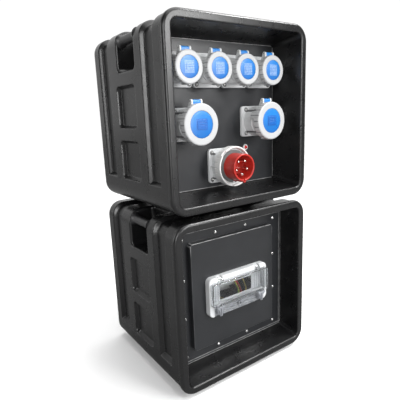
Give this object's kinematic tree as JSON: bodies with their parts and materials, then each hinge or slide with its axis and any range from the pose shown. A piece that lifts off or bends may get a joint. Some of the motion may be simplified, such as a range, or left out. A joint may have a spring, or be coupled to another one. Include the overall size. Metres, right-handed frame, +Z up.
{
  "type": "portable power distribution box",
  "caption": "Two stacked black moulded cases: the upper holds lidded blue power outlets and a red flanged inlet, the lower a hinged clear window over breakers.",
  "frame": {"origin": "centre of the footprint, on the surface the pads stand on", "axes": "+X to the right seen from the front, +Y from the front to the back, +Z up"},
  "size_m": [0.4, 0.37, 0.849],
  "materials": {
    "shell_black": "satin black rotational-moulded polyethylene",
    "bar_black": "satin black moulded grip",
    "pad_rubber": "matt black rubber",
    "plate_black": "satin black powder coat",
    "seal_rubber": "matt black foam rubber",
    "screw_steel": "bright zinc plated",
    "device_grey": "light grey moulded polyamide",
    "ring_white": "pale grey moulded polyamide",
    "lid_blue": "blue semi-gloss polyamide",
    "inlet_red": "red semi-gloss polyamide",
    "inlet_ring_white": "milky white moulded polyamide",
    "gasket_grey": "grey soft rubber",
    "pin_nickel": "nickel plated brass",
    "contact_brass": "plain brass",
    "carrier_grey": "dark grey moulded polyamide",
    "lamp_white": "white bezel",
    "lamp_red": "red translucent lens",
    "window_grey": "light grey moulded frame",
    "window_clear": "clear polycarbonate",
    "latch_grey": "smoke grey moulded catch",
    "rail_zinc": "zinc plated steel",
    "gear_grey": "light grey moulded switchgear",
    "toggle_black": "black lever",
    "toggle_blue": "blue lever",
    "button_yellow": "yellow test button",
    "wire_earth": "green and yellow insulation",
    "wire_line": "red insulation",
    "wire_neutral": "light insulation",
    "cable_black": "black rubber sheath"
  },
  "bodies": {
    "breaker_module": {"lower_shell": "shell_black", "lower_front_frame": "shell_black", "lower_handle_bars": "bar_black", "lower_pads": "pad_rubber", "frame_plate": "plate_black", "frame_seal": "seal_rubber", "lower_fixings": "screw_steel", "raised_cover": "plate_black", "window_base": "window_grey", "din_rail": "rail_zinc", "rcd_body": "gear_grey", "mcb_bodies": "gear_grey", "terminal_bars": "contact_brass", "wire_earth": "wire_earth", "wire_line": "wire_line", "wire_neutral": "wire_neutral"},
    "socket_module": {"upper_shell": "shell_black", "upper_front_frame": "shell_black", "upper_handle_bars": "bar_black", "upper_pads": "pad_rubber", "device_plate": "plate_black", "upper_seals": "seal_rubber", "upper_fixings": "screw_steel", "contact_carriers": "carrier_grey", "contact_sleeves": "contact_brass", "lid_hinge_pins": "pin_nickel", "inlet_housing": "device_grey", "inlet_shroud": "inlet_red", "inlet_pins": "pin_nickel", "inlet_seal": "gasket_grey", "lamp_bezel": "lamp_white", "lamp_lens": "lamp_red", "upper_cables": "cable_black", "outlet_small_1_housing": "device_grey", "outlet_small_2_housing": "device_grey", "outlet_small_3_housing": "device_grey", "outlet_small_4_housing": "device_grey", "outlet_large_1_housing": "device_grey", "outlet_large_2_housing": "device_grey"},
    "outlet_small_1_lid": {"outlet_small_1_lid": "lid_blue"},
    "outlet_small_1_ring": {"outlet_small_1_ring": "ring_white"},
    "outlet_small_2_lid": {"outlet_small_2_lid": "lid_blue"},
    "outlet_small_2_ring": {"outlet_small_2_ring": "ring_white"},
    "outlet_small_3_lid": {"outlet_small_3_lid": "lid_blue"},
    "outlet_small_3_ring": {"outlet_small_3_ring": "ring_white"},
    "outlet_small_4_lid": {"outlet_small_4_lid": "lid_blue"},
    "outlet_small_4_ring": {"outlet_small_4_ring": "ring_white"},
    "outlet_large_1_lid": {"outlet_large_1_lid": "lid_blue"},
    "outlet_large_1_ring": {"outlet_large_1_ring": "ring_white"},
    "outlet_large_2_lid": {"outlet_large_2_lid": "lid_blue"},
    "outlet_large_2_ring": {"outlet_large_2_ring": "ring_white"},
    "inlet_ring": {"inlet_ring": "inlet_ring_white"},
    "window_cover": {"window_cover": "window_clear"},
    "window_catch_1": {"window_catch_1": "latch_grey"},
    "window_catch_2": {"window_catch_2": "latch_grey"},
    "rcd_toggle": {"rcd_toggle": "toggle_blue"},
    "mcb_toggle_1": {"mcb_toggle_1": "toggle_black"},
    "mcb_toggle_2": {"mcb_toggle_2": "toggle_black"},
    "mcb_toggle_3": {"mcb_toggle_3": "toggle_black"},
    "rcd_button": {"rcd_button": "button_yellow"}
  },
  "joints": [
    {"name": "module_lift", "type": "slide", "parent": "breaker_module", "child": "socket_module", "axis": [0, 0, 1], "range_m": [0, 0.06]},
    {"name": "outlet_small_1_hinge", "type": "hinge", "parent": "socket_module", "child": "outlet_small_1_lid", "pos_m": [-0.12, -0.134, 0.776], "axis": [-1, 0, 0], "range_deg": [0, 95]},
    {"name": "outlet_small_1_ring_turn", "type": "hinge", "parent": "outlet_small_1_lid", "child": "outlet_small_1_ring", "pos_m": [-0.12, -0.148, 0.737], "axis": [0, 1, 0], "range_deg": [0, 20]},
    {"name": "outlet_small_2_hinge", "type": "hinge", "parent": "socket_module", "child": "outlet_small_2_lid", "pos_m": [-0.04, -0.134, 0.776], "axis": [-1, 0, 0], "range_deg": [0, 95]},
    {"name": "outlet_small_2_ring_turn", "type": "hinge", "parent": "outlet_small_2_lid", "child": "outlet_small_2_ring", "pos_m": [-0.04, -0.148, 0.737], "axis": [0, 1, 0], "range_deg": [0, 20]},
    {"name": "outlet_small_3_hinge", "type": "hinge", "parent": "socket_module", "child": "outlet_small_3_lid", "pos_m": [0.04, -0.134, 0.776], "axis": [-1, 0, 0], "range_deg": [0, 95]},
    {"name": "outlet_small_3_ring_turn", "type": "hinge", "parent": "outlet_small_3_lid", "child": "outlet_small_3_ring", "pos_m": [0.04, -0.148, 0.737], "axis": [0, 1, 0], "range_deg": [0, 20]},
    {"name": "outlet_small_4_hinge", "type": "hinge", "parent": "socket_module", "child": "outlet_small_4_lid", "pos_m": [0.12, -0.134, 0.776], "axis": [-1, 0, 0], "range_deg": [0, 95]},
    {"name": "outlet_small_4_ring_turn", "type": "hinge", "parent": "outlet_small_4_lid", "child": "outlet_small_4_ring", "pos_m": [0.12, -0.148, 0.737], "axis": [0, 1, 0], "range_deg": [0, 20]},
    {"name": "outlet_large_1_hinge", "type": "hinge", "parent": "socket_module", "child": "outlet_large_1_lid", "pos_m": [-0.103, -0.143, 0.668], "axis": [-1, 0, 0], "range_deg": [0, 90]},
    {"name": "outlet_large_1_ring_turn", "type": "hinge", "parent": "outlet_large_1_lid", "child": "outlet_large_1_ring", "pos_m": [-0.103, -0.16, 0.619], "axis": [0, 1, 0], "range_deg": [0, 20]},
    {"name": "outlet_large_2_hinge", "type": "hinge", "parent": "socket_module", "child": "outlet_large_2_lid", "pos_m": [0.103, -0.143, 0.668], "axis": [-1, 0, 0], "range_deg": [0, 90]},
    {"name": "outlet_large_2_ring_turn", "type": "hinge", "parent": "outlet_large_2_lid", "child": "outlet_large_2_ring", "pos_m": [0.103, -0.16, 0.619], "axis": [0, 1, 0], "range_deg": [0, 20]},
    {"name": "inlet_ring_turn", "type": "hinge", "parent": "socket_module", "child": "inlet_ring", "pos_m": [0, -0.138, 0.518], "axis": [0, 1, 0], "range_deg": [0, 20]},
    {"name": "window_cover_hinge", "type": "hinge", "parent": "breaker_module", "child": "window_cover", "pos_m": [0, -0.1475, 0.2535], "axis": [-1, 0, 0], "range_deg": [0, 110]},
    {"name": "window_catch_1_slide", "type": "slide", "parent": "breaker_module", "child": "window_catch_1", "axis": [0, 0, -1], "range_m": [0, 0.006]},
    {"name": "window_catch_2_slide", "type": "slide", "parent": "breaker_module", "child": "window_catch_2", "axis": [0, 0, -1], "range_m": [0, 0.006]},
    {"name": "rcd_toggle_throw", "type": "hinge", "parent": "breaker_module", "child": "rcd_toggle", "pos_m": [-0.046, -0.072, 0.2095], "axis": [1, 0, 0], "range_deg": [0, 56]},
    {"name": "mcb_toggle_1_throw", "type": "hinge", "parent": "breaker_module", "child": "mcb_toggle_1", "pos_m": [-0.00075, -0.072, 0.2095], "axis": [1, 0, 0], "range_deg": [0, 56]},
    {"name": "mcb_toggle_2_throw", "type": "hinge", "parent": "breaker_module", "child": "mcb_toggle_2", "pos_m": [0.01675, -0.072, 0.2095], "axis": [1, 0, 0], "range_deg": [0, 56]},
    {"name": "mcb_toggle_3_throw", "type": "hinge", "parent": "breaker_module", "child": "mcb_toggle_3", "pos_m": [0.03425, -0.072, 0.2095], "axis": [1, 0, 0], "range_deg": [0, 56]},
    {"name": "rcd_button_press", "type": "slide", "parent": "breaker_module", "child": "rcd_button", "axis": [0, 1, 0], "range_m": [0, 0.0015], "stiffness_N_per_m": 300}
  ]
}
